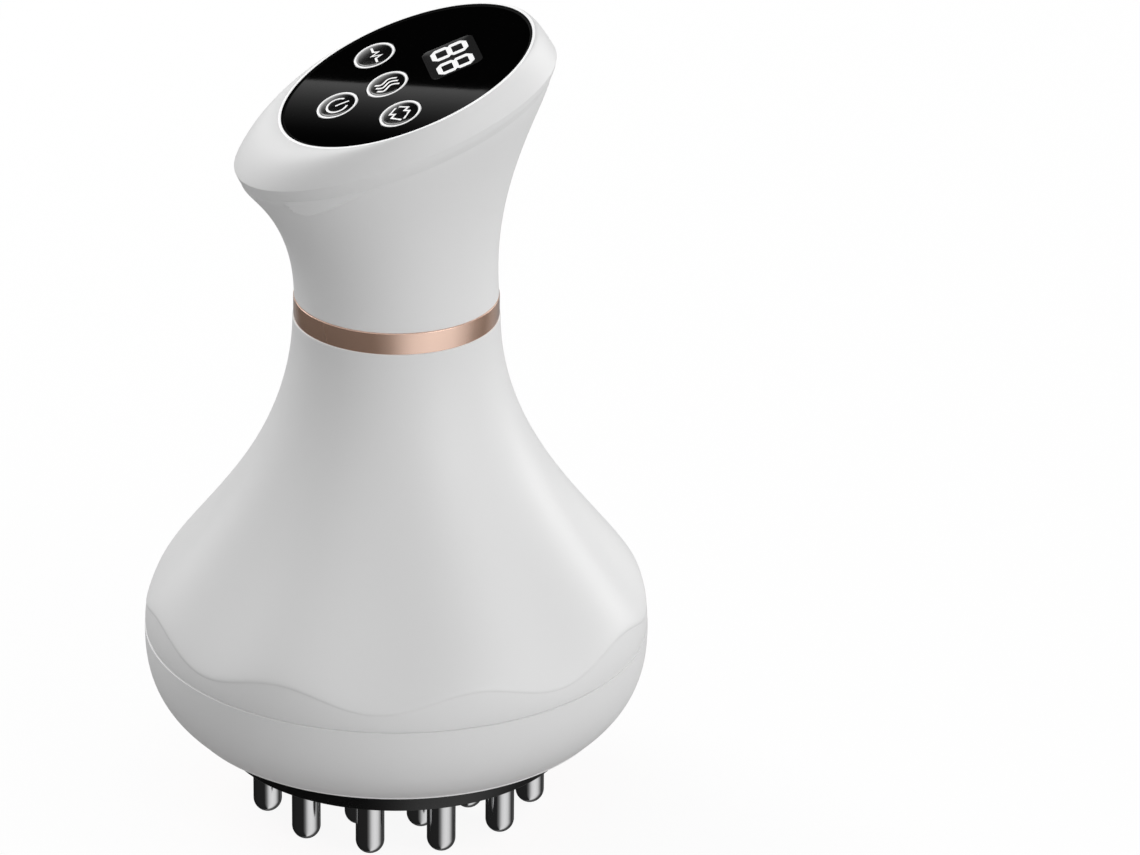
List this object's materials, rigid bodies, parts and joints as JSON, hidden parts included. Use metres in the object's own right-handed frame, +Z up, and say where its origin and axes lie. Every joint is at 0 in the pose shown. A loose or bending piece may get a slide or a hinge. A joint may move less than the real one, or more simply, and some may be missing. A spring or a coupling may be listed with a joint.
{
  "type": "lymphatic drainage massager",
  "caption": "Hand-held bell-shaped massager: metal massage probes and a light ring below, a vibration motor and cell inside, and a slanted head with push keys and a display.",
  "frame": {"origin": "on the body's axis, in the plane that the probe tips stand on", "axes": "+Z up along the body's axis from the probes to the head; -Y is the front, the low end of the slanted head; +Y is the back, with the charging socket; +X is to the right for a user who faces the panel from the front"},
  "size_m": [0.1, 0.1, 0.1638],
  "materials": {
    "shell_white": "satin moulded ABS",
    "trim_rose": "satin rose gold plating",
    "panel_black": "polished black acrylic",
    "print_white": "translucent white light guide",
    "key_black": "glossy domed key cap",
    "rim_black": "polished black",
    "light_red": "frosted red light guide",
    "plate_mirror": "dark mirror finish",
    "probe_chrome": "polished dark chrome",
    "steel": "plain steel",
    "heater_alu": "milled aluminium",
    "board_green": "solder mask",
    "part_black": "black moulded",
    "frame_grey": "glass filled nylon",
    "gasket_rubber": "soft silicone",
    "weight_brass": "turned brass",
    "cell_wrap": "heat shrink sleeve",
    "lead_red": "wire insulation"
  },
  "bodies": {
    "housing": {"base_cup": "shell_white", "bell_shell": "shell_white", "trim_ring": "trim_rose", "neck_coupler": "frame_grey", "handle_shell": "shell_white", "head_bezel": "shell_white", "panel_lens": "panel_black", "key_rings": "print_white", "display_module": "part_black", "panel_board": "board_green", "tact_switches": "part_black", "board_screws": "steel", "base_rim": "rim_black", "rim_gasket": "gasket_rubber", "light_ring": "light_red", "probe_plate": "plate_mirror", "outer_probes": "probe_chrome", "middle_probes": "probe_chrome", "centre_probe": "probe_chrome", "probe_nuts": "steel", "red_leds": "light_red", "led_board": "board_green", "heater_plate": "heater_alu", "heater_screws": "steel", "rim_screws": "steel", "shell_screws": "steel", "inner_frame": "frame_grey", "motor_body": "steel", "motor_cap": "part_black", "cap_screws": "steel", "battery_cell": "cell_wrap", "battery_sleeve": "part_black", "battery_cap": "part_black", "power_board": "board_green", "power_board_parts": "part_black", "charge_board": "board_green", "charge_socket": "steel", "wire_loom": "lead_red"},
    "power_key": {"power_button": "key_black"},
    "pulse_key": {"pulse_button": "key_black"},
    "heat_key": {"heat_button": "key_black"},
    "mode_key": {"mode_button": "key_black"},
    "rotor": {"motor_shaft": "steel", "motor_weight": "weight_brass"}
  },
  "joints": [
    {"name": "power_press", "type": "slide", "parent": "housing", "child": "power_key", "axis": [0, 0.3584, -0.9336], "range_m": [0, 0.0005], "stiffness_N_per_m": 3000, "springref_m": -0.0003},
    {"name": "pulse_press", "type": "slide", "parent": "housing", "child": "pulse_key", "axis": [0, 0.3584, -0.9336], "range_m": [0, 0.0005], "stiffness_N_per_m": 3000, "springref_m": -0.0003},
    {"name": "heat_press", "type": "slide", "parent": "housing", "child": "heat_key", "axis": [0, 0.3584, -0.9336], "range_m": [0, 0.0005], "stiffness_N_per_m": 3000, "springref_m": -0.0003},
    {"name": "mode_press", "type": "slide", "parent": "housing", "child": "mode_key", "axis": [0, 0.3584, -0.9336], "range_m": [0, 0.0005], "stiffness_N_per_m": 3000, "springref_m": -0.0003},
    {"name": "motor_spin", "type": "hinge", "parent": "housing", "child": "rotor", "pos_m": [0, 0, 0.03], "axis": [0, 0, 1], "continuous": true}
  ]
}
